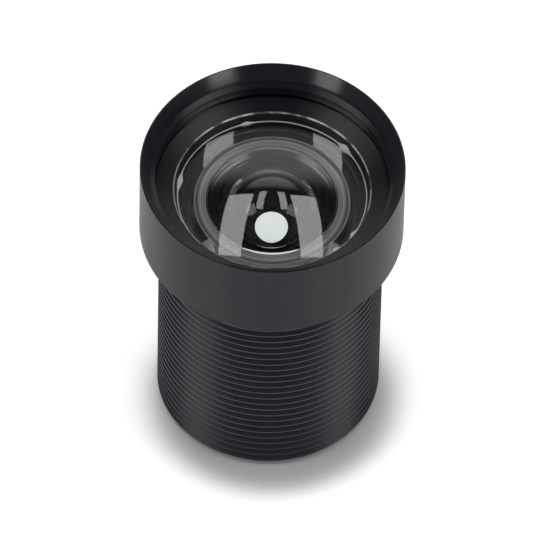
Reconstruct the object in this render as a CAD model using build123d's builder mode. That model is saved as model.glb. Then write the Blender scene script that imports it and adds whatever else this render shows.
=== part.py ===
from build123d import *
import math
import os

# M12 board camera lens, standing on the rear end of its barrel.
# Millimetres. Z is the optical axis, z = 0 is the rear end, and the front glass looks up.

# Barrel, one turned piece of aluminium: a smooth head over an M12 x 0.5 threaded body
thread_diameter = 12.0
thread_pitch = 0.5
thread_depth = 0.29
thread_flat = 0.06
thread_end_chamfer = 0.25
head_length = 5.2
head_back_chamfer = 0.12
head_edge_chamfer = 0.06
rim_land = 0.05

# Mouth of the barrel: a flare that ends in the internal thread for the retaining ring
flare_depth = 0.95
flare_width = 0.59
throat_step = 0.12
mouth_thread_length = 0.9
mouth_thread_depth = 0.27
ring_shoulder = 0.61
ring_travel = 0.4

# Walls and steps of the bores, from the outside in, and the ledge that carries the stack
body_wall = 1.3
seal_seat_width = 0.92
bore_step = 0.5
ledge_width = 0.8
ledge_thickness = 0.5

# Recess in the rear end, where the infrared filter is glued to the ledge
filter_recess_margin = 0.2
filter_recess_depth = 0.8
filter_glue_gap = 0.15
filter_thickness = 0.3

# Fits between turned and ground pieces
bore_clearance = 0.02
ring_clearance = 0.03
contact_gap = 0.01

# Rear lens, a weak meniscus
rear_lens_rim = 0.9
rear_lens_rim_width = 0.83
rear_lens_front_curve = 22.3
rear_lens_rear_curve = -40.0

# Fifth lens, convex on both sides
fifth_lens_rim = 0.9
fifth_lens_rim_width = 0.93
fifth_lens_front_curve = 9.0
fifth_lens_rear_curve = 7.0

# Cemented pair: a convex crown in front of a flint
doublet_rim_width = 1.48
flint_rim = 1.3
flint_rear_curve = 20.0
crown_rim = 0.9
crown_front_curve = 5.53
cement_curve = 9.0

# Aperture stop, a thin blackened disc
stop_thickness = 0.1
stop_opening_radius = 1.4

# Third lens, convex on both sides
third_lens_rim = 0.75
third_lens_rim_width = 1.43
third_lens_front_curve = 6.48
third_lens_rear_curve = 5.0

# Second lens, hollow on both sides
second_lens_centre = 0.38
second_lens_front_curve = -54.4
second_lens_front_rim_width = 1.48
second_lens_rear_depth = 1.126
second_lens_rear_rim_width = 1.98

# Front lens: a dome with a deep hollow behind it, inside a ground seat on a flange that falls outwards
front_lens_curve = 10.0
front_lens_centre = 1.25
hollow_depth = 1.44
hollow_bevel = 0.06
seat_width = 0.75
seat_margin = 0.93
flange_slope = 4

# Air between the glass on the axis, which the spacers keep
rear_air_gap = 0.05
fourth_air_gap = 0.11
stop_air_gap = 1.54
third_air_gap = 0.11
second_air_gap = 1.18

# Spacers
spacer_hole_margin = 0.1
front_spacer_thickness = 0.86
front_spacer_hole_margin = 0.2
front_spacer_land = 0.3

# Thin black film washers that keep stray light out
shield_thickness = 0.05

# Rubber seal ring under the flange of the front lens
seal_squeezed_height = 0.6
seal_side_gap = 0.06

# Retaining ring
ring_lip_overlap = 0.55
ring_lip_height = 0.55
ring_opening_flare = 0.17
ring_face_rise = 0.15
ring_edge_break = 0.04


def cap_height(curve, clear_radius):
    """Height of a spherical cap: positive for a convex curve, negative for a hollow one."""
    depth = abs(curve) - math.sqrt(curve**2 - clear_radius**2)
    return math.copysign(depth, curve)


def hollow_of_depth(depth, clear_radius):
    """Curve of a hollow that is this deep at its clear radius, negative as all hollow curves are."""
    return -(clear_radius**2 + depth**2) / (2 * depth)


def front_face(top, curve, clear_radius):
    """Front polish of a lens, from the axis out to its flat rim at height top."""
    vertex = top + cap_height(curve, clear_radius)
    middle = vertex - cap_height(curve, clear_radius / 2)
    ThreePointArc((0, vertex), (clear_radius / 2, middle), (clear_radius, top))
    return vertex


def rear_face(bottom, curve, clear_radius):
    """Rear polish of a lens, from its flat rim at height bottom in to the axis."""
    vertex = bottom - cap_height(curve, clear_radius)
    middle = vertex + cap_height(curve, clear_radius / 2)
    ThreePointArc((clear_radius, bottom), (clear_radius / 2, middle), (0, vertex))
    return vertex


def lens_outline(bottom, rim, outer_radius, front, rear):
    """Half section of a lens; front and rear are each a curve and the radius it reaches."""
    top = bottom + rim
    front_vertex = front_face(top, *front)
    Polyline((front[1], top), (outer_radius, top), (outer_radius, bottom), (rear[1], bottom))
    rear_vertex = rear_face(bottom, *rear)
    Line((0, rear_vertex), (0, front_vertex))


def washer_outline(bottom, top, hole_radius, outer_radius):
    """Half section of a flat spacer, washer or stop."""
    Polyline(
        (hole_radius, bottom),
        (outer_radius, bottom),
        (outer_radius, top),
        (hole_radius, top),
        close=True,
    )


def outer_edge(part, height):
    """The widest circular edge of a turned part at this height."""
    circles = part.edges().filter_by(GeomType.CIRCLE)
    at_height = circles.filter_by_position(Axis.Z, height - 0.001, height + 0.001)
    return at_height.sort_by(SortBy.RADIUS)[-1]


def thread_ridges(crest_radius, root_radius, low, high):
    """Points up a thread whose turns are drawn as level ridges, one for each pitch."""
    turns = int((high - low + thread_flat / 4) / thread_pitch)
    groove = [
        (crest_radius, thread_flat / 2),
        (root_radius, thread_pitch / 2 - thread_flat / 2),
        (root_radius, thread_pitch / 2 + thread_flat / 2),
        (crest_radius, thread_pitch - thread_flat / 2),
    ]
    return [(radius, low + turn * thread_pitch + rise) for turn in range(turns) for radius, rise in groove]


# Radii of the bores, each from the one outside it
thread_radius = thread_diameter / 2
front_bore_radius = thread_radius - body_wall
rear_bore_radius = front_bore_radius - bore_step
ledge_radius = rear_bore_radius - ledge_width
filter_recess_radius = rear_bore_radius + filter_recess_margin
cell_radius = front_bore_radius + seal_seat_width
ring_thread_radius = cell_radius + ring_shoulder
throat_radius = ring_thread_radius + throat_step
mouth_radius = throat_radius + flare_width
head_radius = mouth_radius + rim_land + head_edge_chamfer

# Radii of the pieces that slide into the bores
rear_group_radius = rear_bore_radius - bore_clearance
front_group_radius = front_bore_radius - bore_clearance
front_lens_radius = cell_radius - bore_clearance

# Radii that the polished faces reach
rear_lens_clear = rear_group_radius - rear_lens_rim_width
fifth_lens_clear = rear_group_radius - fifth_lens_rim_width
doublet_clear = rear_group_radius - doublet_rim_width
third_lens_clear = rear_group_radius - third_lens_rim_width
second_lens_front_clear = front_group_radius - second_lens_front_rim_width
second_lens_rear_clear = front_group_radius - second_lens_rear_rim_width
seat_radius = front_group_radius - seat_margin
hollow_clear = seat_radius - seat_width
hollow_curve = hollow_of_depth(hollow_depth, hollow_clear)
second_lens_rear_curve = hollow_of_depth(second_lens_rear_depth, second_lens_rear_clear)

# Heights of the stack, each piece seated on the one behind it
ledge_top = filter_recess_depth + ledge_thickness
rear_lens_top = ledge_top + rear_lens_rim
rear_lens_dome = cap_height(rear_lens_front_curve, rear_lens_clear)
fifth_lens_rear_dome = cap_height(fifth_lens_rear_curve, fifth_lens_clear)
rear_spacer_top = rear_lens_top + rear_lens_dome + rear_air_gap + fifth_lens_rear_dome
fifth_lens_top = rear_spacer_top + fifth_lens_rim
rear_shield_top = fifth_lens_top + shield_thickness
fifth_lens_front_dome = cap_height(fifth_lens_front_curve, fifth_lens_clear)
flint_dome = cap_height(flint_rear_curve, doublet_clear)
fourth_spacer_top = fifth_lens_top + fifth_lens_front_dome + fourth_air_gap + flint_dome
flint_top = fourth_spacer_top + flint_rim
crown_top = flint_top + crown_rim
crown_dome = cap_height(crown_front_curve, doublet_clear)
stop_spacer_top = crown_top + crown_dome + stop_air_gap
stop_top = stop_spacer_top + stop_thickness
third_lens_rear_dome = cap_height(third_lens_rear_curve, third_lens_clear)
third_spacer_top = stop_top + third_air_gap + third_lens_rear_dome
third_lens_top = third_spacer_top + third_lens_rim
third_lens_front_dome = cap_height(third_lens_front_curve, third_lens_clear)
second_spacer_top = third_lens_top + third_lens_front_dome + second_air_gap - second_lens_rear_depth
second_lens_front_depth = -cap_height(second_lens_front_curve, second_lens_front_clear)
second_lens_rim = second_lens_rear_depth + second_lens_centre + second_lens_front_depth
second_lens_top = second_spacer_top + second_lens_rim
front_shield_top = second_lens_top + shield_thickness
seat_height = front_shield_top + front_spacer_thickness

# Heights round the front lens and its ring
hollow_edge_height = seat_height + hollow_bevel
apex_height = hollow_edge_height + hollow_depth + front_lens_centre
flange_top = apex_height - cap_height(front_lens_curve, front_lens_radius)
flange_bottom = seat_height - (front_lens_radius - seat_radius) * math.tan(math.radians(flange_slope))
seal_shoulder = flange_bottom - seal_squeezed_height
ring_lip_radius = front_lens_radius - ring_lip_overlap
ring_opening_radius = ring_lip_radius + ring_opening_flare
lip_height = apex_height - cap_height(front_lens_curve, ring_lip_radius) + contact_gap
ring_thread_floor = lip_height - ring_travel
ring_edge_height = lip_height + ring_lip_height
ring_top = ring_edge_height + ring_face_rise

# Heights of the barrel's mouth and head
throat_height = ring_top + mouth_thread_length
barrel_length = throat_height + flare_depth
head_bottom = barrel_length - head_length

# Barrel, with its threads drawn as level ridges
with BuildPart() as barrel:
    with BuildSketch(Plane.XZ):
        with BuildLine():
            body_root = thread_radius - thread_depth
            mouth_root = ring_thread_radius + mouth_thread_depth
            body_thread = thread_ridges(thread_radius, body_root, thread_end_chamfer, head_bottom)
            mouth_thread = thread_ridges(ring_thread_radius, mouth_root, ring_thread_floor, throat_height)
            Polyline(
                (ledge_radius, filter_recess_depth),
                (filter_recess_radius, filter_recess_depth),
                (filter_recess_radius, 0),
                (thread_radius - thread_end_chamfer, 0),
                (thread_radius, thread_end_chamfer),
                *body_thread,
                (thread_radius, head_bottom),
                (head_radius, head_bottom),
                (head_radius, barrel_length),
                (mouth_radius, barrel_length),
                (throat_radius, throat_height),
                (ring_thread_radius, throat_height),
                *reversed(mouth_thread),
                (ring_thread_radius, ring_thread_floor),
                (cell_radius, ring_thread_floor),
                (cell_radius, seal_shoulder),
                (front_bore_radius, seal_shoulder),
                (front_bore_radius, third_lens_top),
                (rear_bore_radius, third_lens_top),
                (rear_bore_radius, ledge_top),
                (ledge_radius, ledge_top),
                close=True,
            )
        make_face()
    revolve(axis=Axis.Z)
    chamfer(outer_edge(barrel, head_bottom), length=head_back_chamfer)
    chamfer(outer_edge(barrel, barrel_length), length=head_edge_chamfer)
barrel.part.label = "barrel"

# Infrared filter, a plane disc of coated glass glued under the ledge
with BuildPart() as infrared_filter:
    with BuildSketch(Plane.XY.offset(filter_recess_depth - filter_thickness)):
        Circle(filter_recess_radius - filter_glue_gap)
    extrude(amount=filter_thickness)
infrared_filter.part.label = "infrared_filter"

# Rear lens, seated on the ledge
with BuildPart() as rear_lens:
    with BuildSketch(Plane.XZ):
        with BuildLine():
            lens_outline(
                ledge_top,
                rear_lens_rim,
                rear_group_radius,
                (rear_lens_front_curve, rear_lens_clear),
                (rear_lens_rear_curve, rear_lens_clear),
            )
        make_face()
    revolve(axis=Axis.Z)
rear_lens.part.label = "rear_lens"

# Rear spacer
with BuildPart() as rear_spacer:
    with BuildSketch(Plane.XZ):
        with BuildLine():
            rear_spacer_hole = max(rear_lens_clear, fifth_lens_clear) + spacer_hole_margin
            washer_outline(rear_lens_top, rear_spacer_top, rear_spacer_hole, rear_group_radius)
        make_face()
    revolve(axis=Axis.Z)
rear_spacer.part.label = "rear_spacer"

# Fifth lens
with BuildPart() as fifth_lens:
    with BuildSketch(Plane.XZ):
        with BuildLine():
            lens_outline(
                rear_spacer_top,
                fifth_lens_rim,
                rear_group_radius,
                (fifth_lens_front_curve, fifth_lens_clear),
                (fifth_lens_rear_curve, fifth_lens_clear),
            )
        make_face()
    revolve(axis=Axis.Z)
fifth_lens.part.label = "fifth_lens"

# Rear light shield, on the fifth lens
fourth_spacer_hole = max(fifth_lens_clear, doublet_clear) + spacer_hole_margin
with BuildPart() as rear_light_shield:
    with BuildSketch(Plane.XZ):
        with BuildLine():
            washer_outline(fifth_lens_top, rear_shield_top, fourth_spacer_hole, rear_group_radius)
        make_face()
    revolve(axis=Axis.Z)
rear_light_shield.part.label = "rear_light_shield"

# Fourth spacer
with BuildPart() as fourth_spacer:
    with BuildSketch(Plane.XZ):
        with BuildLine():
            washer_outline(rear_shield_top, fourth_spacer_top, fourth_spacer_hole, rear_group_radius)
        make_face()
    revolve(axis=Axis.Z)
fourth_spacer.part.label = "fourth_spacer"

# Flint of the cemented pair: its hollow front face takes the crown
with BuildPart() as doublet_flint:
    with BuildSketch(Plane.XZ):
        with BuildLine():
            lens_outline(
                fourth_spacer_top,
                flint_rim,
                rear_group_radius,
                (-cement_curve, doublet_clear),
                (flint_rear_curve, doublet_clear),
            )
        make_face()
    revolve(axis=Axis.Z)
doublet_flint.part.label = "doublet_flint"

# Crown of the cemented pair
with BuildPart() as doublet_crown:
    with BuildSketch(Plane.XZ):
        with BuildLine():
            lens_outline(
                flint_top,
                crown_rim,
                rear_group_radius,
                (crown_front_curve, doublet_clear),
                (cement_curve, doublet_clear),
            )
        make_face()
    revolve(axis=Axis.Z)
doublet_crown.part.label = "doublet_crown"

# Spacer that carries the aperture stop
with BuildPart() as stop_spacer:
    with BuildSketch(Plane.XZ):
        with BuildLine():
            stop_spacer_hole = doublet_clear + spacer_hole_margin
            washer_outline(crown_top, stop_spacer_top, stop_spacer_hole, rear_group_radius)
        make_face()
    revolve(axis=Axis.Z)
stop_spacer.part.label = "stop_spacer"

# Aperture stop
with BuildPart() as aperture_stop:
    with BuildSketch(Plane.XZ):
        with BuildLine():
            washer_outline(stop_spacer_top, stop_top, stop_opening_radius, rear_group_radius)
        make_face()
    revolve(axis=Axis.Z)
aperture_stop.part.label = "aperture_stop"

# Third spacer
with BuildPart() as third_spacer:
    with BuildSketch(Plane.XZ):
        with BuildLine():
            third_spacer_hole = third_lens_clear + spacer_hole_margin
            washer_outline(stop_top, third_spacer_top, third_spacer_hole, rear_group_radius)
        make_face()
    revolve(axis=Axis.Z)
third_spacer.part.label = "third_spacer"

# Third lens
with BuildPart() as third_lens:
    with BuildSketch(Plane.XZ):
        with BuildLine():
            lens_outline(
                third_spacer_top,
                third_lens_rim,
                rear_group_radius,
                (third_lens_front_curve, third_lens_clear),
                (third_lens_rear_curve, third_lens_clear),
            )
        make_face()
    revolve(axis=Axis.Z)
third_lens.part.label = "third_lens"

# Second spacer, in the wide bore
with BuildPart() as second_spacer:
    with BuildSketch(Plane.XZ):
        with BuildLine():
            second_spacer_hole = max(third_lens_clear, second_lens_rear_clear) + spacer_hole_margin
            washer_outline(third_lens_top, second_spacer_top, second_spacer_hole, front_group_radius)
        make_face()
    revolve(axis=Axis.Z)
second_spacer.part.label = "second_spacer"

# Second lens
with BuildPart() as second_lens:
    with BuildSketch(Plane.XZ):
        with BuildLine():
            lens_outline(
                second_spacer_top,
                second_lens_rim,
                front_group_radius,
                (second_lens_front_curve, second_lens_front_clear),
                (second_lens_rear_curve, second_lens_rear_clear),
            )
        make_face()
    revolve(axis=Axis.Z)
second_lens.part.label = "second_lens"

# Front light shield, on the second lens
with BuildPart() as front_light_shield:
    with BuildSketch(Plane.XZ):
        with BuildLine():
            washer_outline(second_lens_top, front_shield_top, second_lens_front_clear, front_group_radius)
        make_face()
    revolve(axis=Axis.Z)
front_light_shield.part.label = "front_light_shield"

# Front spacer, with a raised land that carries the ground seat of the front lens
with BuildPart() as front_spacer:
    with BuildSketch(Plane.XZ):
        with BuildLine():
            front_spacer_hole = hollow_clear + front_spacer_hole_margin
            land_foot = seat_height - front_spacer_land
            Polyline(
                (front_spacer_hole, front_shield_top),
                (front_group_radius, front_shield_top),
                (front_group_radius, land_foot),
                (seat_radius, land_foot),
                (seat_radius, seat_height),
                (front_spacer_hole, seat_height),
                close=True,
            )
        make_face()
    revolve(axis=Axis.Z)
front_spacer.part.label = "front_spacer"

# Front lens
with BuildPart() as front_lens:
    with BuildSketch(Plane.XZ):
        with BuildLine():
            front_face(flange_top, front_lens_curve, front_lens_radius)
            Polyline(
                (front_lens_radius, flange_top),
                (front_lens_radius, flange_bottom),
                (seat_radius, seat_height),
                (hollow_clear + hollow_bevel, seat_height),
                (hollow_clear, hollow_edge_height),
            )
            hollow_vertex = rear_face(hollow_edge_height, hollow_curve, hollow_clear)
            Line((0, hollow_vertex), (0, apex_height))
        make_face()
    revolve(axis=Axis.Z)
front_lens.part.label = "front_lens"

# Seal ring, round in section and squeezed flat where it bears on the flange and the shoulder
with BuildPart() as front_seal_ring:
    with BuildSketch(Plane.XZ):
        seal_centre = (front_bore_radius + seal_seat_width / 2, seal_shoulder + seal_squeezed_height / 2)
        with Locations(seal_centre):
            SlotOverall(seal_seat_width - 2 * seal_side_gap, seal_squeezed_height)
    revolve(axis=Axis.Z)
front_seal_ring.part.label = "front_seal_ring"

# Retaining ring: its lip bears on the dome of the front lens
with BuildPart() as front_retaining_ring:
    with BuildSketch(Plane.XZ):
        with BuildLine():
            ring_radius = ring_thread_radius - ring_clearance
            Polyline(
                (ring_lip_radius, lip_height),
                (ring_radius, lip_height),
                (ring_radius, ring_top),
                (ring_opening_radius, ring_edge_height),
                close=True,
            )
        make_face()
    revolve(axis=Axis.Z)
    opening_edge = front_retaining_ring.edges().filter_by(GeomType.CIRCLE).filter_by_position(
        Axis.Z, ring_edge_height - 0.001, ring_edge_height + 0.001
    )
    chamfer(opening_edge, length=ring_edge_break)
front_retaining_ring.part.label = "front_retaining_ring"

os.makedirs("parts", exist_ok=True)
pieces = [
    barrel,
    front_retaining_ring,
    front_lens,
    front_seal_ring,
    front_spacer,
    front_light_shield,
    second_lens,
    second_spacer,
    third_lens,
    third_spacer,
    aperture_stop,
    stop_spacer,
    doublet_crown,
    doublet_flint,
    fourth_spacer,
    rear_light_shield,
    fifth_lens,
    rear_spacer,
    rear_lens,
    infrared_filter,
]
for piece in pieces:
    export_step(piece.part, f"parts/{piece.part.label}.step")
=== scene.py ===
import bmesh
import bpy
import math
from mathutils import Matrix, Vector


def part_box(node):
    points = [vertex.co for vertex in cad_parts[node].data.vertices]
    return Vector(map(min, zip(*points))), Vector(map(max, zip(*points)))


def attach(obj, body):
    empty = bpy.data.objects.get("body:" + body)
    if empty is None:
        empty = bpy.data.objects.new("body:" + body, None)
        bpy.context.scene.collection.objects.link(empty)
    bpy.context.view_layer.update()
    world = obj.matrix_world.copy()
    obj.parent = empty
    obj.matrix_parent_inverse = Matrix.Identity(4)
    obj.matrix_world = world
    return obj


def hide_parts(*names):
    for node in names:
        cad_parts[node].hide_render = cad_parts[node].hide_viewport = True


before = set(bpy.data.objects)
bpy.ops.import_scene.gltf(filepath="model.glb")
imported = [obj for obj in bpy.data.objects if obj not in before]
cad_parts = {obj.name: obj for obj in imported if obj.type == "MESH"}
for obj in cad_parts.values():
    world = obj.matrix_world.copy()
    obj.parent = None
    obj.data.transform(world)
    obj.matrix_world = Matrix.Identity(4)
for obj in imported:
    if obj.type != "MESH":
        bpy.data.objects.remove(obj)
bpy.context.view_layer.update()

# Shapes are in millimetres until they become a mesh, and Blender works in metres
MM = 0.001
AXIS = (0, 0, 1)
TURNING_STEPS = 192

# Heights and radii closer than this count as the same
SAME = 0.001
# The middle of a turned facet lies inside its radius by less than this
FACET_SAG = 0.01


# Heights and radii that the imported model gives

def height_of(name):
    """Lowest and highest point of a node on the optical axis, in millimetres."""
    low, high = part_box(name)
    return low.z / MM, high.z / MM


def radius_of(name):
    """Outer radius of a turned node, in millimetres."""
    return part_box(name)[1].x / MM


# Barrel
barrel_length = height_of("barrel")[1]
head_radius = radius_of("barrel")
head_length = 5.2
head_bottom = barrel_length - head_length
thread_radius = 6.0
thread_pitch = 0.5
thread_depth = 0.29
thread_crest_share = 0.12
thread_flank_share = 0.38
thread_end_chamfer = 0.25
head_back_chamfer = 0.12
head_edge_chamfer = 0.06
rim_land = 0.05
flare_depth = 0.95
throat_radius = 6.35
mouth_thread_radius = 6.23
mouth_thread_depth = 0.27
mouth_thread_runout = 0.3
flat_margin = 0.3
loop_margin = 0.1
front_bore_radius = 4.7
rear_bore_radius = 4.2
bore_step_height = height_of("second_spacer")[0]
ledge_radius = 3.4
rear_lens_rim = 0.9
ledge_top = height_of("rear_spacer")[0] - rear_lens_rim
ledge_bottom = height_of("infrared_filter")[1]
filter_recess_radius = 4.4
rear_land_radius = 5.4

# Retaining ring
ring_radius = radius_of("front_retaining_ring")
ring_bottom, ring_top = height_of("front_retaining_ring")
ring_opening_radius = 5.22
ring_lip_radius = 5.05
ring_face_rise = 0.15
ring_edge_break = 0.06
ring_edge_flare = 0.01

# Front lens, and the cell in the barrel that takes it
front_lens_radius = radius_of("front_lens")
cell_radius = front_lens_radius + 0.02
front_lens_curve = 10.0
flange_bottom, apex_height = height_of("front_lens")
seat_radius = 3.75
seat_height = height_of("front_spacer")[1]
hollow_bevel = 0.06
edge_rounding = 0.075
hollow_clear = 3.0
hollow_depth = 1.44
hollow_curve = (hollow_clear**2 + hollow_depth**2) / (2 * hollow_depth)
seal_shoulder = height_of("front_seal_ring")[0]

# Film of air that keeps the faces of glass and metal from coinciding
air_film = 0.004

# Inner lenses from the front: the curves of the front and rear face, each with the radius that it
# reaches, the glass and its index, and the films taken off the two faces. A negative film puts a face
# into the cement, so that light leaves one glass only after it has entered the other.
inner_lenses = (
    ("second_glass", "second_lens", ((-54.4, 3.2), (-3.8, 2.7)),
     "crown_glass_second", 1.52, (air_film, air_film)),
    ("third_glass", "third_lens", ((6.48, 2.75), (5.0, 2.75)),
     "lanthanum_glass_third", 1.8, (air_film, air_film)),
    ("crown_glass", "doublet_crown", ((5.53, 2.7), (9.0, 2.7)),
     "crown_glass_cemented", 1.62, (air_film, -air_film)),
    ("flint_glass", "doublet_flint", ((-9.0, 2.7), (20.0, 2.7)),
     "flint_glass_cemented", 1.85, (-air_film, air_film)),
    ("fifth_glass", "fifth_lens", ((9.0, 3.25), (7.0, 3.25)),
     "lanthanum_glass_fifth", 1.7, (air_film, air_film)),
    ("rear_glass", "rear_lens", ((22.3, 3.35), (-40.0, 3.35)),
     "crown_glass_rear", 1.53, (air_film, air_film)),
)
inner_edge_rounding = 0.16
inner_coating = "#404840"
filter_edge_break = 0.03

# Adhesive round the dome: a thin bead, and drops at an angle with their spread in degrees and swelling
bead_width = 0.05
bead_ripple = 0.12
bead_waves = (13, 7)
bead_climb = 0.8
bead_bulge = 0.2
bead_lean = 0.5
bead_points = 7
adhesive_drops = ((40, 4, 0.28), (107, 3, 0.14), (171, 5, 0.16), (-30, 3, 0.12), (-46, 3, 0.16))

# Camera, lamps and floor, from the photograph's viewing angle
camera_distance = 650
camera_elevation = 52.5
camera_roll = -1.33
pixels_per_mm = 18.452
image_pixels = 540
image_shift = (0.02, -5.745)
sensor_width = 36
lamp_height = 800
lamp_size = (232, 624)
lamp_place = (320, 136)
lamp_turn = 11
lamp_radiance = 3.0
panel_distance = 900
front_panel = {"size": 300, "from_front": 40, "elevation": 8, "radiance": 9.0}
side_panel = {"size": 330, "from_front": 76, "elevation": 46, "radiance": 1.4}
sky_overhead = 0.03
sky_low_down = 0.5
sky_low_below = 0.3
sky_behind = 0.7
sky_behind_edge = (0.55, 0.75)
floor_half_size = 1000
floor_drop = 0.01
floor_glow = 0.66
# The floor's glow fades near the object: a painted shadow, with its reach, its range of nearness and its
# tilt to the front and right
floor_shade_reach = 3.1
floor_shade_range = (0.52, 0.96)
floor_shade_side = {"X": -0.16, "Y": 0.74, "Z": 0.65}


# Materials

def linear(code):
    """An sRGB hex colour as linear light, with full alpha."""
    channels = [int(code[i : i + 2], 16) / 255 for i in (1, 3, 5)]
    light = [c / 12.92 if c <= 0.04045 else ((c + 0.055) / 1.055) ** 2.4 for c in channels]
    return (*light, 1)


def add_node(material, kind, settings=None, links=None):
    """Add a shader node, set its inputs or properties, and feed inputs from other nodes' outputs."""
    tree = material.node_tree
    node = tree.nodes.new(kind)
    for name, value in (settings or {}).items():
        if name in node.inputs:
            node.inputs[name].default_value = value
        else:
            setattr(node, name, value)
    for name, socket in (links or {}).items():
        tree.links.new(socket, node.inputs[name])
    return node


def new_material(name, settings):
    """A node material and its shader, with uniform values set on the shader itself."""
    material = bpy.data.materials.new(name)
    material.use_nodes = True
    shader = material.node_tree.nodes["Principled BSDF"]
    for socket, value in settings.items():
        shader.inputs[socket].default_value = value
    return material, shader


def feed(material, shader, outputs):
    """Link each output to the shader's input of that name."""
    for name, output in outputs.items():
        material.node_tree.links.new(output, shader.inputs[name])


def place_on_object(material):
    """The place on the piece, in its own coordinates."""
    return add_node(material, "ShaderNodeTexCoord").outputs["Object"]


def radius_and_height(material, place):
    """The distance from the optical axis, and the height along it."""
    axes = add_node(material, "ShaderNodeSeparateXYZ", links={0: place})
    spot = add_node(material, "ShaderNodeCombineXYZ",
                    links={0: axes.outputs["X"], 1: axes.outputs["Y"]})
    radius = add_node(material, "ShaderNodeVectorMath", {"operation": "LENGTH"}, {0: spot.outputs[0]})
    return radius.outputs["Value"], axes.outputs["Z"]


def grain_of(material, place, size, detail):
    """Noise with grains of about this many millimetres."""
    return add_node(material, "ShaderNodeTexNoise", {"Scale": 1 / (size * MM), "Detail": detail},
                    {"Vector": place}).outputs[0]


def rings_of(material, along, width, settings):
    """Noise along one measure, which draws rings of about this many millimetres."""
    return add_node(material, "ShaderNodeTexNoise", {
        "noise_dimensions": "1D",
        "Scale": 1 / (width * MM),
        **settings,
    }, {"W": along}).outputs[0]


def tone_between(material, tones, share):
    """A colour between two tones."""
    return add_node(material, "ShaderNodeMix", {
        "data_type": "RGBA",
        "A": linear(tones[0]),
        "B": linear(tones[1]),
    }, {"Factor": share}).outputs["Result"]


def level_between(material, first, second, share):
    """A level between two levels, by the share of the second."""
    return add_node(material, "ShaderNodeMix", {"data_type": "FLOAT", "Factor": share},
                    {"A": first, "B": second}).outputs[0]


def stretched(material, value, low, high):
    """The range from low to high stretched to 0 and 1, which sharpens a pattern."""
    return add_node(material, "ShaderNodeMapRange", {"From Min": low, "From Max": high},
                    {"Value": value}).outputs[0]


def relief_of(material, height, strength, depth):
    """A relief of this depth in millimetres."""
    return add_node(material, "ShaderNodeBump", {"Strength": strength, "Distance": depth * MM},
                    {"Height": height}).outputs[0]


def turned_black_anodising(name, reflection, roughness, ring_depth):
    """Fine tool rings under a satin black dye: dark, slightly blue, with highlights across the rings."""
    material, shader = new_material(name, {
        "IOR": 1.5,
        "Specular IOR Level": reflection,
        "Anisotropic": 0.95,
        "Anisotropic Rotation": 0.25,
    })
    place = place_on_object(material)
    radius, height = radius_and_height(material, place)
    across = add_node(material, "ShaderNodeMath", {"operation": "ADD"}, {0: radius, 1: height})
    rings = rings_of(material, across.outputs[0], width=0.06, settings={"Detail": 3.0, "Roughness": 0.6})
    grain = grain_of(material, place, size=0.09, detail=2.0)
    surface = level_between(material, rings, grain, share=0.45)
    dye = grain_of(material, place, size=2.4, detail=3.0)
    satin = add_node(material, "ShaderNodeMapRange", {"To Min": roughness[0], "To Max": roughness[1]},
                     {"Value": dye})
    lay = add_node(material, "ShaderNodeTangent", {"direction_type": "RADIAL", "axis": "Z"})
    feed(material, shader, {
        "Base Color": tone_between(material, ("#191a20", "#202128"), dye),
        "Roughness": satin.outputs[0],
        "Normal": relief_of(material, surface, strength=0.35, depth=ring_depth),
        "Tangent": lay.outputs[0],
    })
    return material


def thread_anodising_painted_lighter():
    """The thread under the same dye, with a lighter base colour than the head: painted light that stands
    in for the light its cut flanks catch.
    """
    material, shader = new_material("black_anodised_aluminium_threads_painted_lighter", {"IOR": 1.5, "Roughness": 0.3})
    dye = grain_of(material, place_on_object(material), size=0.3, detail=3.0)
    feed(material, shader, {
        "Base Color": tone_between(material, ("#26282e", "#31333a"), dye),
        "Normal": relief_of(material, dye, strength=0.3, depth=0.004),
    })
    return material


def edge_with_painted_highlight():
    """The ring's broken edge in bright metal with light dashes on the black: a painted highlight along
    the opening.
    """
    material, shader = new_material("bright_metal_painted_edge_highlight", {"Metallic": 1.0, "Roughness": 0.55})
    dash_noise = grain_of(material, place_on_object(material), size=0.9, detail=4.0)
    bright_dashes = stretched(material, dash_noise, low=0.4, high=0.55)
    feed(material, shader, {"Base Color": tone_between(material, ("#77787b", "#f0f1f3"), bright_dashes)})
    return material


def polished_glass(name, index, tint="#ffffff", coating="#ffffff"):
    """Ground and polished optical glass: clear, with sharp reflections that its coating dims."""
    material, _ = new_material(name, {
        "Transmission Weight": 1.0,
        "IOR": index,
        "Roughness": 0.0,
        "Base Color": linear(tint),
        "Specular Tint": linear(coating),
    })
    return material


def ground_glass(name, tones):
    """Fine-ground glass: grey-green and scattering, streaked round the axis by the grinding tool; the
    strong grey-to-white contrast of the streaks is painted highlight, standing in for bright arcs of
    light on the seat.
    """
    material, shader = new_material(name, {"IOR": 1.6, "Roughness": 0.35})
    place = place_on_object(material)
    radius, _ = radius_and_height(material, place)
    streaks = rings_of(material, radius, width=0.16, settings={"Detail": 2.0})
    grit = grain_of(material, place, size=0.12, detail=2.0)
    surface = level_between(material, streaks, grit, share=0.2)
    painted_light_streaks = stretched(material, streaks, low=0.4, high=0.6)
    feed(material, shader, {
        "Base Color": tone_between(material, tones, painted_light_streaks),
        "Normal": relief_of(material, surface, strength=0.6, depth=0.02),
    })
    return material


def cured_adhesive():
    """Cured adhesive: glossy and slightly uneven, with a near-white, mostly opaque body that is a
    painted highlight, a bright line against the black metal behind it.
    """
    material, shader = new_material("cured_adhesive_painted_white", {
        "Transmission Weight": 0.2,
        "IOR": 1.5,
        "Roughness": 0.1,
        "Base Color": linear("#f8fafb"),
    })
    waves = grain_of(material, place_on_object(material), size=0.25, detail=2.0)
    feed(material, shader, {"Normal": relief_of(material, waves, strength=0.6, depth=0.03)})
    return material


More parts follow.
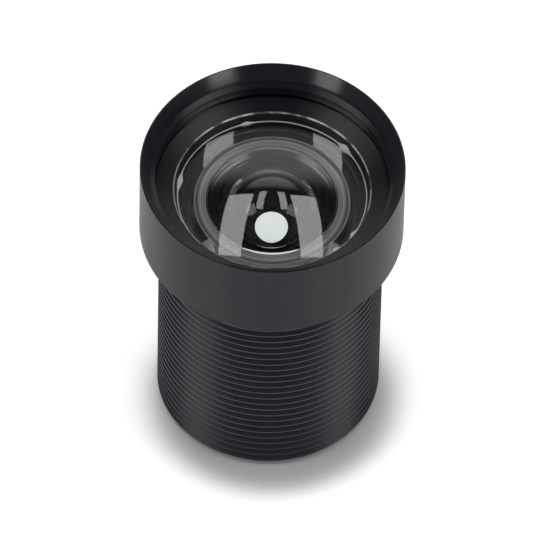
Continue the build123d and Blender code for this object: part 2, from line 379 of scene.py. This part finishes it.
def speckled_finish(name, tones, roughness, size, depth):
    """A matt dark surface with a fine grain that breaks its highlights."""
    material, shader = new_material(name, {"Roughness": roughness})
    grit = grain_of(material, place_on_object(material), size, detail=3.0)
    feed(material, shader, {
        "Base Color": tone_between(material, tones, grit),
        "Normal": relief_of(material, grit, strength=0.4, depth=depth),
    })
    return material


# Meshes

def cap_height(curve, clear_radius):
    """Height of a spherical cap: positive for a convex curve, negative for a hollow one."""
    return math.copysign(abs(curve) - math.sqrt(curve**2 - clear_radius**2), curve)


def cap_profile(rim_height, curve, clear_radius, segments=56):
    """Points of a spherical face from the axis out to its rim, its vertex above the rim if convex."""
    vertex = rim_height + cap_height(curve, clear_radius)
    radii = [clear_radius * i / segments for i in range(1, segments + 1)]
    return [(0, vertex)] + [(r, vertex - cap_height(curve, r)) for r in radii]


def upside_down(rim_height, points):
    """The same profile mirrored about the height of its rim and walked from the rim to the axis."""
    return [(r, 2 * rim_height - z) for r, z in reversed(points)]


def rounded_edge(start, corner, end, segments=8):
    """Points of a polished rounding that leaves one face at start and meets the next at end."""
    points = []
    for i in range(segments + 1):
        t = i / segments
        shares = ((1 - t) ** 2, 2 * t * (1 - t), t**2)
        weighted = list(zip(shares, (start, corner, end)))
        points.append(tuple(sum(share * point[axis] for share, point in weighted) for axis in (0, 1)))
    return points


def turned_shell(outlines, steps=TURNING_STEPS):
    """A bmesh of outlines spun round the axis; each is a list of points and whether it closes."""
    shell = bmesh.new()
    for points, closes in outlines:
        verts = [shell.verts.new((r * MM, 0, z * MM)) for r, z in points]
        pairs = list(zip(verts, verts[1:]))
        if closes:
            pairs.append((verts[-1], verts[0]))
        edges = [shell.edges.new(pair) for pair in pairs]
        bmesh.ops.spin(shell, geom=verts + edges, cent=(0, 0, 0), axis=AXIS, angle=2 * math.pi,
                       steps=steps, use_merge=True)
    bmesh.ops.remove_doubles(shell, verts=shell.verts, dist=1e-7)
    return shell


def finished(shell, name, material, replaces=(), sharp=20):
    """Turn a bmesh into a smooth-shaded piece, with its finish and its place in the frame."""
    bmesh.ops.recalc_face_normals(shell, faces=shell.faces)
    for face in shell.faces:
        face.smooth = True
    mesh = bpy.data.meshes.new(name)
    shell.to_mesh(mesh)
    shell.free()
    mesh.set_sharp_from_angle(angle=math.radians(sharp))
    mesh.materials.append(material)
    piece = bpy.data.objects.new(name, mesh)
    bpy.context.scene.collection.objects.link(piece)
    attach(piece, "root")
    if replaces:
        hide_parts(*replaces)
    return piece


def thread_band(outer, inner, pitch, low, high, steps=TURNING_STEPS):
    """A helical thread between two radii, cut flat at both ends."""
    crest, flank = thread_crest_share * pitch, thread_flank_share * pitch
    start = low - 2 * pitch
    section = [
        (outer, 0),
        (outer, crest),
        (inner, crest + flank),
        (inner, pitch - flank),
        (outer, pitch),
    ]
    band = bmesh.new()
    verts = [band.verts.new((r * MM, 0, (start + z) * MM)) for r, z in section]
    edges = [band.edges.new(pair) for pair in zip(verts, verts[1:])]
    bmesh.ops.spin(band, geom=verts + edges, cent=(0, 0, 0), axis=AXIS, angle=2 * math.pi,
                   dvec=(0, 0, pitch * MM / steps), steps=steps)
    turns = 1
    while turns * pitch < high - low + 4 * pitch:
        copy = bmesh.ops.duplicate(band, geom=band.verts[:] + band.edges[:] + band.faces[:])
        moved = [item for item in copy["geom"] if isinstance(item, bmesh.types.BMVert)]
        bmesh.ops.translate(band, verts=moved, vec=(0, 0, turns * pitch * MM))
        turns *= 2
    bmesh.ops.remove_doubles(band, verts=band.verts, dist=1e-6)
    for height, normal in ((low, (0, 0, -1)), (high, AXIS)):
        everything = band.verts[:] + band.edges[:] + band.faces[:]
        bmesh.ops.bisect_plane(band, geom=everything, plane_co=(0, 0, height * MM), plane_no=normal,
                               clear_outer=True, dist=1e-7)
    return band


def limit_radius(shell, limit):
    """Cut a turned surface back, or bore it out, to the radius that limit gives."""
    for vert in shell.verts:
        radius = math.hypot(vert.co.x, vert.co.y)
        factor = limit(vert.co.z / MM, radius / MM) * MM / radius
        vert.co.x *= factor
        vert.co.y *= factor


def join(target, source):
    """Add one bmesh to another."""
    mesh = bpy.data.meshes.new("joined")
    source.to_mesh(mesh)
    source.free()
    target.from_mesh(mesh)
    bpy.data.meshes.remove(mesh)


def close_flat_ring(shell, height, low_radius, high_radius):
    """Fill the flat ring between two open loops that lie at one height."""
    loops = []
    for edge in shell.edges:
        middle = (edge.verts[0].co + edge.verts[1].co) / 2
        flat = all(abs(vert.co.z / MM - height) < SAME for vert in edge.verts)
        if edge.is_boundary and flat and low_radius < middle.xy.length / MM < high_radius:
            loops.append(edge)
    bmesh.ops.triangle_fill(shell, edges=loops, normal=AXIS)


def middle_of(face):
    """Radius and height of a face's middle, in millimetres."""
    return face.center.xy.length / MM, face.center.z / MM


def make_barrel(material, thread_finish, mouth_finish):
    """The turned barrel, with a true helical thread outside and in the mouth."""
    throat_height = barrel_length - flare_depth
    runout = throat_height + mouth_thread_runout
    flare_slope = (head_radius - head_edge_chamfer - rim_land - throat_radius) / flare_depth

    def end_chamfer(z, radius):
        return min(radius, thread_radius - thread_end_chamfer + z)

    def mouth_flare(z, radius):
        if z < throat_height:
            return radius
        return max(radius, throat_radius + (z - throat_height) * flare_slope)

    outside = thread_band(thread_radius, thread_radius - thread_depth, thread_pitch, 0, head_bottom)
    limit_radius(outside, end_chamfer)
    mouth = thread_band(mouth_thread_radius + mouth_thread_depth, mouth_thread_radius, thread_pitch,
                        ring_bottom, runout)
    limit_radius(mouth, mouth_flare)
    head = [
        (thread_radius + flat_margin, head_bottom),
        (head_radius - head_back_chamfer, head_bottom),
        (head_radius, head_bottom + head_back_chamfer),
        (head_radius, barrel_length - head_edge_chamfer),
        (head_radius - head_edge_chamfer, barrel_length),
        (head_radius - head_edge_chamfer - rim_land, barrel_length),
        (throat_radius + (runout - throat_height) * flare_slope, runout),
    ]
    bores = [
        (cell_radius + flat_margin, ring_bottom),
        (cell_radius, ring_bottom),
        (cell_radius, seal_shoulder),
        (front_bore_radius, seal_shoulder),
        (front_bore_radius, bore_step_height),
        (rear_bore_radius, bore_step_height),
        (rear_bore_radius, ledge_top),
        (ledge_radius, ledge_top),
        (ledge_radius, ledge_bottom),
        (filter_recess_radius, ledge_bottom),
        (filter_recess_radius, 0),
        (rear_land_radius, 0),
    ]
    shell = turned_shell([(head, False), (bores, False)])
    join(shell, outside)
    join(shell, mouth)
    bmesh.ops.remove_doubles(shell, verts=shell.verts, dist=1e-6)
    close_flat_ring(shell, 0, rear_land_radius - loop_margin, thread_radius)
    close_flat_ring(shell, head_bottom, thread_radius - thread_depth - loop_margin, head_radius)
    close_flat_ring(shell, ring_bottom, cell_radius, head_radius)
    barrel = finished(shell, "threaded_barrel", material, ["barrel"],
                      sharp=35)
    barrel.data.materials.append(thread_finish)
    barrel.data.materials.append(mouth_finish)
    # Faces of the thread get the lighter finish, which is painted light; those of the mouth get the
    # turned finish
    for face in barrel.data.polygons:
        radius, height = middle_of(face)
        if height < head_bottom - SAME and radius > thread_radius - thread_depth - FACET_SAG:
            face.material_index = 1
        elif height > seal_shoulder and radius < head_radius - head_edge_chamfer:
            face.material_index = 2


def make_ring(material, edge_finish):
    """The threaded retaining ring, with a broken edge round its opening that carries a painted
    highlight.
    """
    edge_height = ring_top - ring_face_rise
    outline = [
        (ring_lip_radius, ring_bottom),
        (ring_radius, ring_bottom),
        (ring_radius, ring_top),
        (ring_opening_radius + ring_edge_break, edge_height + ring_edge_flare),
        (ring_opening_radius - ring_edge_flare, edge_height - ring_edge_break),
    ]
    shell = turned_shell([(outline, True)])
    ring = finished(shell, "retaining_ring", material,
                    ["front_retaining_ring"])
    ring.data.materials.append(edge_finish)
    for face in ring.data.polygons:
        if abs(middle_of(face)[1] - edge_height + ring_edge_break / 2) < ring_edge_break / 2:
            face.material_index = 1


def make_front_lens(polished, ground):
    """The domed front lens: flange, ground seat, and a rounded edge round the deep hollow."""
    flange_top = apex_height - cap_height(front_lens_curve, front_lens_radius)
    seat = seat_height + air_film
    hollow_slope = hollow_clear / math.sqrt(hollow_curve**2 - hollow_clear**2)
    edge_corner = hollow_clear + hollow_bevel / hollow_slope
    seat_inside = edge_corner + edge_rounding
    dome = cap_profile(flange_top, front_lens_curve, front_lens_radius)
    hollow = cap_profile(seat + hollow_bevel, hollow_curve, hollow_clear)
    outline = dome + [
        (front_lens_radius, flange_bottom),
        (seat_radius, seat),
        *rounded_edge((seat_inside, seat), (edge_corner, seat), (hollow_clear, seat + hollow_bevel)),
        *reversed(hollow[:-1]),
    ]
    shell = turned_shell([(outline, False)])
    glass = finished(shell, "front_glass", polished, ["front_lens"], sharp=3)
    mesh = glass.data
    mesh.materials.append(ground)
    for face in mesh.polygons:
        radius, height = middle_of(face)
        if height < seat + SAME and seat_inside < radius < seat_radius:
            face.material_index = 1
    for edge in mesh.edges:
        ends = [mesh.vertices[i].co for i in edge.vertices]
        if all(end.z / MM < seat + hollow_bevel + SAME and end.xy.length / MM < seat_inside - SAME
               for end in ends):
            edge.use_edge_sharp = False


def make_lens(name, node, faces, films, material):
    """An inner lens; where its rear face is hollow, the edge round the hollow is rounded."""
    low, high = height_of(node)
    outer_radius = radius_of(node)
    (front_curve, front_clear), (rear_curve, rear_clear) = faces
    bottom = low + max(cap_height(rear_curve, rear_clear), 0) + films[1]
    top = high - max(cap_height(front_curve, front_clear), 0) - films[0]
    front = cap_profile(top, front_curve, front_clear)
    rear = upside_down(bottom, cap_profile(bottom, rear_curve, rear_clear))
    if rear_curve < 0:
        rear = rounded_edge((rear_clear + inner_edge_rounding, bottom), rear[0], rear[2]) + rear[3:]
    shell = turned_shell([(front + [(outer_radius, top), (outer_radius, bottom)] + rear, False)])
    finished(shell, name, material, [node])


def make_filter(material):
    """The thin infrared filter, with its edge lightly broken."""
    low, high = height_of("infrared_filter")
    radius = radius_of("infrared_filter")
    edge = filter_edge_break
    outline = [(0, high), (radius - edge, high), (radius, high - edge), (radius, low + edge),
               (radius - edge, low), (0, low)]
    shell = turned_shell([(outline, False)])
    finished(shell, "filter_glass_disc", material, ["infrared_filter"])


def make_adhesive_bead(material):
    """The bead of clear adhesive between the ring's lip and the dome, swollen at the drops."""
    wall_slope = (ring_opening_radius - ring_lip_radius) / (ring_top - ring_face_rise - ring_bottom)

    def section(azimuth):
        width = bead_width
        for centre, spread, swelling in adhesive_drops:
            off = (azimuth - centre + 180) % 360 - 180
            width += swelling * math.exp(-((off / spread) ** 2))
        coarse, fine = (math.sin(math.radians(azimuth * waves)) for waves in bead_waves)
        width *= 1 + bead_ripple * coarse * fine
        climb = bead_climb * width
        inner = ring_lip_radius - width
        outer = ring_lip_radius - air_film + climb * wall_slope
        foot = apex_height - cap_height(front_lens_curve, inner) + air_film
        top = ring_bottom + climb
        corner = ring_lip_radius - air_film
        outline = [(corner, apex_height - cap_height(front_lens_curve, corner) + air_film)]
        for i in range(bead_points):
            share = i / (bead_points - 1)
            bulge = bead_bulge * width * math.sin(math.pi * share)
            outline.append((outer + (inner - outer) * share - bead_lean * bulge,
                            top + (foot - top) * share + bulge))
        return outline

    bead = bmesh.new()
    rows = []
    for step in range(2 * TURNING_STEPS):
        azimuth = 180 * step / TURNING_STEPS
        turn = math.radians(azimuth)
        rows.append([bead.verts.new((r * math.cos(turn) * MM, r * math.sin(turn) * MM, z * MM))
                     for r, z in section(azimuth)])
    for row, next_row in zip(rows, rows[1:] + rows[:1]):
        for i in range(len(row)):
            j = (i + 1) % len(row)
            bead.faces.new((row[i], row[j], next_row[j], next_row[i]))
    finished(bead, "adhesive_bead", material, sharp=60)


# Scene

def make_camera():
    """The photograph's camera: a long lens, looking down on the mouth."""
    elevation, roll = math.radians(camera_elevation), math.radians(camera_roll)
    back = Vector((0, -math.cos(elevation), math.sin(elevation)))
    right = Vector((1, 0, 0))
    up = Vector((0, math.sin(elevation), math.cos(elevation)))
    target = -image_shift[0] * right - image_shift[1] * up
    turned_right = right * math.cos(roll) - up * math.sin(roll)
    turned_up = right * math.sin(roll) + up * math.cos(roll)
    place = Matrix((turned_right, turned_up, back)).transposed().to_4x4()
    place.translation = (target + back * camera_distance) * MM
    data = bpy.data.cameras.new("camera")
    data.sensor_width = sensor_width
    data.lens = sensor_width * pixels_per_mm * camera_distance / image_pixels
    data.clip_start = 10 * MM
    data.clip_end = 10000 * MM
    camera = bpy.data.objects.new("camera", data)
    camera.matrix_world = place
    bpy.context.scene.collection.objects.link(camera)
    bpy.context.scene.camera = camera


def make_lamp(name, side):
    """One long overhead softbox; side is -1 for the left and 1 for the right."""
    data = bpy.data.lights.new(name, "AREA")
    data.shape = "RECTANGLE"
    data.size, data.size_y = lamp_size[0] * MM, lamp_size[1] * MM
    data.energy = lamp_radiance * math.pi * data.size * data.size_y
    lamp = bpy.data.objects.new(name, data)
    lamp.location = (side * lamp_place[0] * MM, lamp_place[1] * MM, lamp_height * MM)
    lamp.rotation_euler = (0, 0, math.radians(side * lamp_turn))
    bpy.context.scene.collection.objects.link(lamp)


def make_panel(name, side, panel):
    """One panel that faces the object: the front pair streaks the mouth, the side pair the thread."""
    data = bpy.data.lights.new(name, "AREA")
    data.shape = "SQUARE"
    data.size = panel["size"] * MM
    data.energy = panel["radiance"] * math.pi * data.size**2
    azimuth, elevation = math.radians(panel["from_front"]), math.radians(panel["elevation"])
    toward = Vector((side * math.sin(azimuth) * math.cos(elevation),
                     -math.cos(azimuth) * math.cos(elevation), math.sin(elevation)))
    lamp = bpy.data.objects.new(name, data)
    lamp.location = toward * panel_distance * MM
    lamp.rotation_euler = toward.to_track_quat("Z", "Y").to_euler()
    bpy.context.scene.collection.objects.link(lamp)


def make_floor():
    """A pale floor that keeps the lamps' shadow, and that reflections and the glass see as white; its
    glow is darkened round the object's foot by a painted shadow.
    """
    material, shader = new_material("pale_floor", {
        "Base Color": linear("#f4f4f4"),
        "Roughness": 0.9,
        "Specular IOR Level": 0.0,
    })
    tree = material.node_tree
    paths = add_node(material, "ShaderNodeLightPath")
    through_glass = paths.outputs["Is Transmission Ray"]
    direct = add_node(material, "ShaderNodeMath", {"operation": "MAXIMUM"},
                      {0: paths.outputs["Is Camera Ray"], 1: paths.outputs["Is Glossy Ray"]})
    seen = add_node(material, "ShaderNodeMath", {"operation": "MAXIMUM"},
                    {0: direct.outputs[0], 1: through_glass})
    level = add_node(material, "ShaderNodeMapRange", {"To Min": floor_glow, "To Max": 1.0},
                     {"Value": through_glass})
    # Painted shadow: the glow is dimmed where the object is near, more on its front and right
    toward_light = add_node(material, "ShaderNodeCombineXYZ", floor_shade_side)
    nearness = add_node(material, "ShaderNodeAmbientOcclusion", {"Distance": floor_shade_reach * MM},
                        {"Normal": toward_light.outputs[0]})
    shade = add_node(material, "ShaderNodeMapRange", {
        "interpolation_type": "SMOOTHSTEP",
        "From Min": floor_shade_range[0],
        "From Max": floor_shade_range[1],
    }, {"Value": nearness.outputs["AO"]})
    clear_below = add_node(material, "ShaderNodeMath", {"operation": "MAXIMUM"},
                           {0: shade.outputs[0], 1: through_glass})
    shaded = add_node(material, "ShaderNodeMath", {"operation": "MULTIPLY"},
                      {0: level.outputs[0], 1: clear_below.outputs[0]})
    strength = add_node(material, "ShaderNodeMath", {"operation": "MULTIPLY"},
                        {0: seen.outputs[0], 1: shaded.outputs[0]})
    glow = add_node(material, "ShaderNodeEmission", links={"Strength": strength.outputs[0]})
    both = add_node(material, "ShaderNodeAddShader", links={0: shader.outputs[0], 1: glow.outputs[0]})
    tree.links.new(both.outputs[0], tree.nodes["Material Output"].inputs["Surface"])
    sheet = bmesh.new()
    bmesh.ops.create_grid(sheet, x_segments=1, y_segments=1, size=floor_half_size * MM)
    bmesh.ops.translate(sheet, verts=sheet.verts, vec=(0, 0, -floor_drop * MM))
    mesh = bpy.data.meshes.new("floor")
    sheet.to_mesh(mesh)
    sheet.free()
    mesh.materials.append(material)
    floor = bpy.data.objects.new("floor", mesh)
    bpy.context.scene.collection.objects.link(floor)


def make_world():
    """White behind the object; for its reflections dark overhead, and pale low down at the sides."""
    world = bpy.data.worlds.new("studio")
    world.use_nodes = True
    bpy.context.scene.world = world
    background = world.node_tree.nodes["Background"]
    background.inputs["Color"].default_value = (1, 1, 1, 1)
    paths = add_node(world, "ShaderNodeLightPath")
    place = add_node(world, "ShaderNodeTexCoord")
    axes = add_node(world, "ShaderNodeSeparateXYZ", links={0: place.outputs["Generated"]})
    low_down = add_node(world, "ShaderNodeMapRange", {
        "interpolation_type": "SMOOTHSTEP",
        "From Min": sky_low_below,
        "From Max": 0.0,
        "To Min": sky_overhead,
        "To Max": sky_low_down,
    }, {"Value": axes.outputs["Z"]})
    behind = add_node(world, "ShaderNodeMapRange", {
        "interpolation_type": "SMOOTHSTEP",
        "From Min": sky_behind_edge[0],
        "From Max": sky_behind_edge[1],
        "To Min": 0.0,
        "To Max": sky_behind,
    }, {"Value": axes.outputs["Y"]})
    around = add_node(world, "ShaderNodeMath", {"operation": "ADD"},
                      {0: low_down.outputs[0], 1: behind.outputs[0]})
    level = add_node(world, "ShaderNodeMix", {"data_type": "FLOAT", "B": 1.0},
                     {"Factor": paths.outputs["Is Camera Ray"], "A": around.outputs[0]})
    world.node_tree.links.new(level.outputs[0], background.inputs["Strength"])


make_camera()
make_floor()
make_world()
for side, word in ((-1, "left"), (1, "right")):
    make_lamp(word + "_softbox", side)
    make_panel(word + "_front_panel", side, front_panel)
    make_panel(word + "_side_panel", side, side_panel)

# Enough bounces for the light to pass all the glass
studio = bpy.context.scene
studio.view_settings.view_transform = "Standard"
studio.cycles.max_bounces = 32
studio.cycles.transmission_bounces = 32
studio.cycles.glossy_bounces = 16

satin_outside = turned_black_anodising("black_anodised_aluminium_satin", reflection=0.19,
                                       roughness=(0.24, 0.31), ring_depth=0.004)
bright_turned = turned_black_anodising("black_anodised_aluminium_turned", reflection=0.5,
                                       roughness=(0.26, 0.33), ring_depth=0.006)
faced_ring = turned_black_anodising("black_anodised_aluminium_faced", reflection=0.5,
                                    roughness=(0.34, 0.4), ring_depth=0.004)
blackened = speckled_finish("blackened_brass_spacer", ("#0e0e0e", "#161616"),
                            roughness=0.5, size=0.05, depth=0.001)
brown_black = speckled_finish("oxidised_brass_spacer", ("#5d564f", "#716860"),
                              roughness=0.5, size=0.05, depth=0.001)
film = speckled_finish("black_polyester_film", ("#0b0b0c", "#111112"),
                       roughness=0.6, size=0.05, depth=0.002)
rubber = speckled_finish("brown_black_moulded_rubber", ("#4a423b", "#5f564d"),
                         roughness=0.75, size=0.06, depth=0.002)

# The thread's lighter colour is painted light on the same black anodising
make_barrel(satin_outside, thread_anodising_painted_lighter(), bright_turned)
# The bright metal on the ring's edge is a painted highlight
make_ring(faced_ring, edge_with_painted_highlight())
# The white streaks in the ground seat's colour are painted highlights
make_front_lens(polished_glass("lanthanum_glass_polished", 1.77),
                ground_glass("ground_glass_seat", ("#878c8b", "#fdfffe")))
# The bead's near-white colour is a painted highlight round the dome
make_adhesive_bead(cured_adhesive())
for name, node, faces, glass, index, films in inner_lenses:
    make_lens(name, node, faces, films, polished_glass(glass, index, coating=inner_coating))
make_filter(polished_glass("infrared_filter_glass", 1.52, "#eef8f4"))

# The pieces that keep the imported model's own mesh get their finish
finishes = {
    "front_spacer": brown_black,
    "second_spacer": blackened,
    "third_spacer": blackened,
    "stop_spacer": blackened,
    "fourth_spacer": blackened,
    "rear_spacer": blackened,
    "aperture_stop": blackened,
    "front_light_shield": film,
    "rear_light_shield": film,
    "front_seal_ring": rubber,
}
for name, finish in finishes.items():
    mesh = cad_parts[name].data
    mesh.materials.clear()
    mesh.materials.append(finish)
